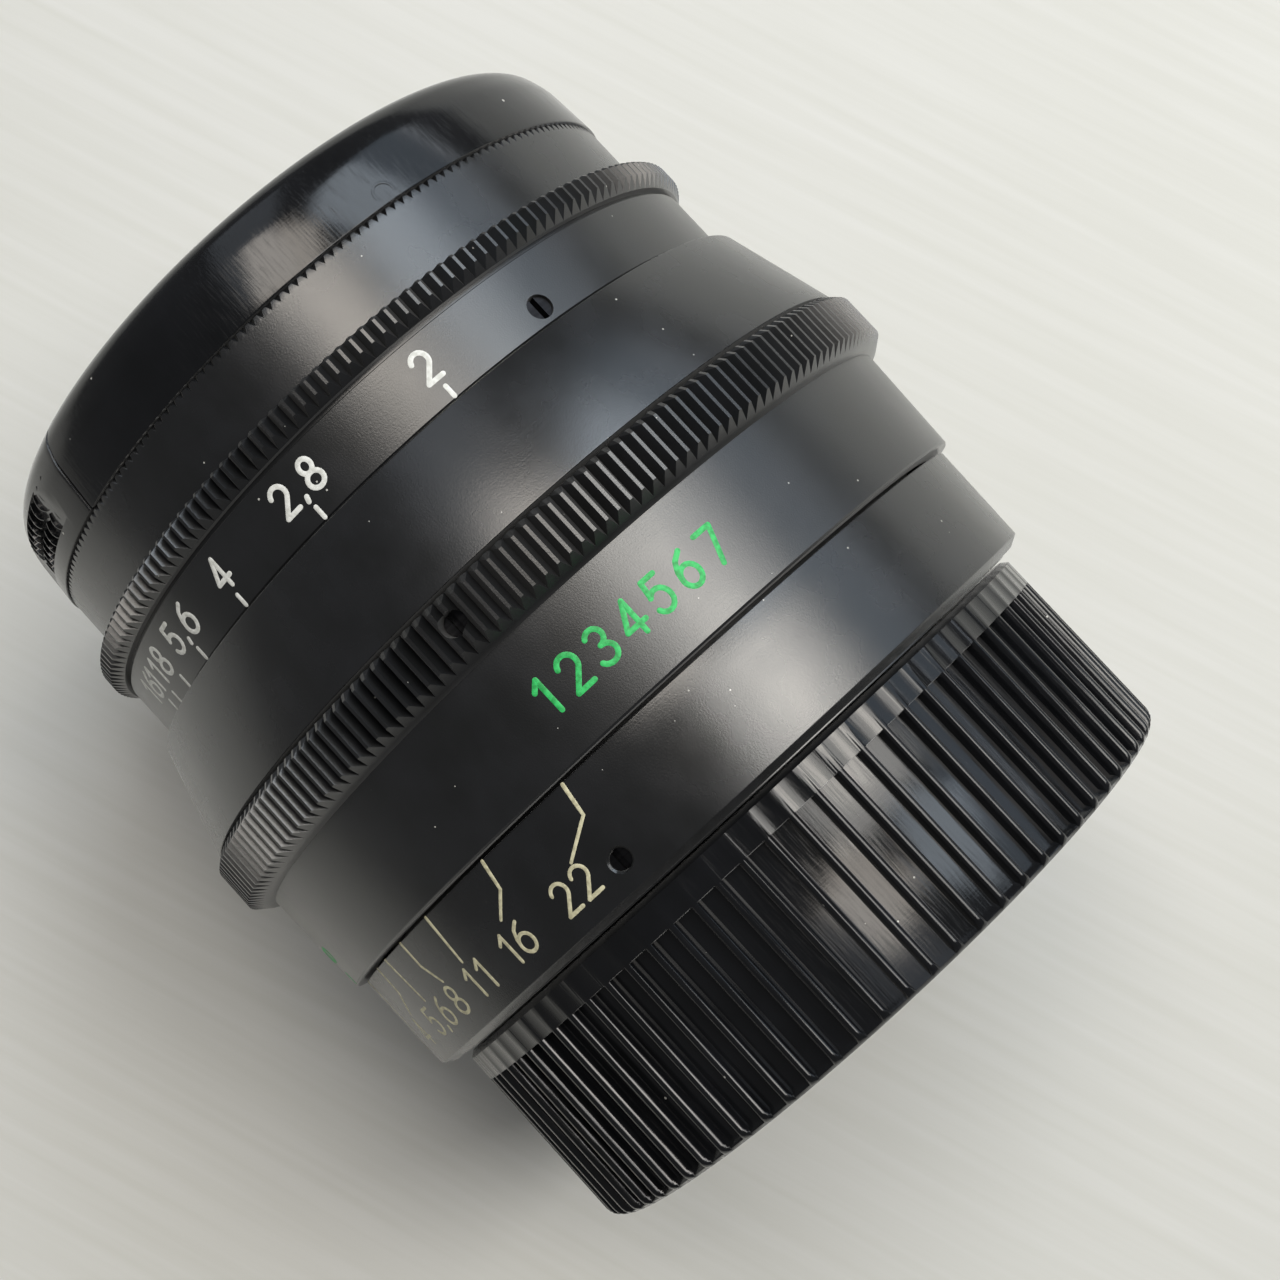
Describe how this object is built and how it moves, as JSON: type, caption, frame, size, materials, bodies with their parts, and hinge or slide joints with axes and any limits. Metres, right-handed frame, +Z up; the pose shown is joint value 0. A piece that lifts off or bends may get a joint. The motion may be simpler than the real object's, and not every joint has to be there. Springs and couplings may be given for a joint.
{
  "type": "prime camera lens",
  "caption": "Manual prime lens lying on its side: knurled focus and aperture rings, helicoid, iris, glass groups, pinch front cap and ribbed rear screw cap.",
  "frame": {"origin": "centre of the mount flange's rear face, on the optical axis", "axes": "+X along the optical axis towards the camera body, so the lens looks along -X; +Z is up as the lens lies on its side; +Y completes the right-handed frame"},
  "size_m": [0.0657, 0.0618, 0.0618],
  "materials": {
    "black_anodised": "satin black anodised, fine turned grain",
    "bright_aluminium": "turned, bare",
    "brass": "machined, greased",
    "screw_steel": "small turned steel",
    "blade_steel": "blued spring steel",
    "coated_glass": "polished, single coated",
    "cap_plastic": "moulded gloss, lightly scratched"
  },
  "bodies": {
    "base": {"mount_tail": "bright_aluminium", "guide_key_1": "brass", "guide_key_2": "brass", "key_screw_1": "screw_steel", "key_screw_2": "screw_steel", "fixed_barrel": "black_anodised", "depth_scale_ring": "black_anodised", "scale_screw_1": "screw_steel", "scale_screw_2": "screw_steel", "scale_screw_3": "screw_steel", "stop_pin": "screw_steel"},
    "focus_ring": {"focus_grip": "black_anodised", "helicoid_sleeve": "brass", "thrust_ring": "brass", "grip_screw_1": "screw_steel", "grip_screw_2": "screw_steel", "grip_screw_3": "screw_steel"},
    "lens_head": {"main_barrel": "black_anodised", "detent_ball": "screw_steel", "index_sleeve": "black_anodised", "front_bezel": "black_anodised", "front_element": "coated_glass", "second_element": "coated_glass", "third_element": "coated_glass", "front_cell": "black_anodised", "front_retainer": "black_anodised", "inner_retainer": "black_anodised", "iris_plate": "black_anodised", "fourth_element": "coated_glass", "fifth_element": "coated_glass", "rear_element": "coated_glass", "rear_cell": "black_anodised", "rear_retainer": "black_anodised"},
    "aperture_ring": {"aperture_ring": "black_anodised", "drive_screw": "screw_steel", "iris_cam_ring": "brass"},
    "blade_1": {"blade_1": "blade_steel"},
    "blade_2": {"blade_2": "blade_steel"},
    "blade_3": {"blade_3": "blade_steel"},
    "blade_4": {"blade_4": "blade_steel"},
    "blade_5": {"blade_5": "blade_steel"},
    "blade_6": {"blade_6": "blade_steel"},
    "blade_7": {"blade_7": "blade_steel"},
    "blade_8": {"blade_8": "blade_steel"},
    "front_cap": {"cap_shell": "cap_plastic", "cap_back": "cap_plastic", "cap_spring_1": "screw_steel", "cap_spring_2": "screw_steel"},
    "cap_button_1": {"cap_button_1": "cap_plastic"},
    "cap_button_2": {"cap_button_2": "cap_plastic"},
    "rear_cap": {"rear_cap": "cap_plastic"}
  },
  "joints": [
    {"name": "focus_turn", "type": "hinge", "parent": "base", "child": "focus_ring", "pos_m": [0, 0, 0], "axis": [-1, 0, 0], "range_deg": [0, 200]},
    {"name": "focus_extension", "type": "slide", "parent": "base", "child": "lens_head", "axis": [-1, 0, 0], "range_m": [0, 0.006]},
    {"name": "aperture_turn", "type": "hinge", "parent": "lens_head", "child": "aperture_ring", "pos_m": [0, 0, 0], "axis": [1, 0, 0], "range_deg": [0, 84.25]},
    {"name": "blade_1_swing", "type": "hinge", "parent": "lens_head", "child": "blade_1", "pos_m": [-0.019, 0, 0.0142], "axis": [1, 0, 0], "range_deg": [-37.5, 0]},
    {"name": "blade_2_swing", "type": "hinge", "parent": "lens_head", "child": "blade_2", "pos_m": [-0.019, -0.01004, 0.01004], "axis": [1, 0, 0], "range_deg": [-37.5, 0]},
    {"name": "blade_3_swing", "type": "hinge", "parent": "lens_head", "child": "blade_3", "pos_m": [-0.019, -0.0142, 0], "axis": [1, 0, 0], "range_deg": [-37.5, 0]},
    {"name": "blade_4_swing", "type": "hinge", "parent": "lens_head", "child": "blade_4", "pos_m": [-0.019, -0.01004, -0.01004], "axis": [1, 0, 0], "range_deg": [-37.5, 0]},
    {"name": "blade_5_swing", "type": "hinge", "parent": "lens_head", "child": "blade_5", "pos_m": [-0.019, 0, -0.0142], "axis": [1, 0, 0], "range_deg": [-37.5, 0]},
    {"name": "blade_6_swing", "type": "hinge", "parent": "lens_head", "child": "blade_6", "pos_m": [-0.019, 0.01004, -0.01004], "axis": [1, 0, 0], "range_deg": [-37.5, 0]},
    {"name": "blade_7_swing", "type": "hinge", "parent": "lens_head", "child": "blade_7", "pos_m": [-0.019, 0.0142, 0], "axis": [1, 0, 0], "range_deg": [-37.5, 0]},
    {"name": "blade_8_swing", "type": "hinge", "parent": "lens_head", "child": "blade_8", "pos_m": [-0.019, 0.01004, 0.01004], "axis": [1, 0, 0], "range_deg": [-37.5, 0]},
    {"name": "front_cap_off", "type": "slide", "parent": "lens_head", "child": "front_cap", "axis": [-1, 0, 0], "range_m": [0, 0.04]},
    {"name": "cap_button_1_press", "type": "slide", "parent": "front_cap", "child": "cap_button_1", "axis": [0, 0.9063, -0.4226], "range_m": [0, 0.0018], "stiffness_N_per_m": 800, "springref_m": -0.0004},
    {"name": "cap_button_2_press", "type": "slide", "parent": "front_cap", "child": "cap_button_2", "axis": [0, -0.9063, 0.4226], "range_m": [0, 0.0018], "stiffness_N_per_m": 800, "springref_m": -0.0004},
    {"name": "rear_cap_off", "type": "slide", "parent": "base", "child": "rear_cap", "axis": [1, 0, 0], "range_m": [0, 0.04]}
  ],
  "couplings": [
    {"joint": "focus_extension", "follows": "focus_turn", "m_per_rad": 0.0017188},
    {"joint": "blade_1_swing", "follows": "aperture_turn", "ratio": -0.44463},
    {"joint": "blade_2_swing", "follows": "aperture_turn", "ratio": -0.44463},
    {"joint": "blade_3_swing", "follows": "aperture_turn", "ratio": -0.44463},
    {"joint": "blade_4_swing", "follows": "aperture_turn", "ratio": -0.44463},
    {"joint": "blade_5_swing", "follows": "aperture_turn", "ratio": -0.44463},
    {"joint": "blade_6_swing", "follows": "aperture_turn", "ratio": -0.44463},
    {"joint": "blade_7_swing", "follows": "aperture_turn", "ratio": -0.44463},
    {"joint": "blade_8_swing", "follows": "aperture_turn", "ratio": -0.44463}
  ]
}
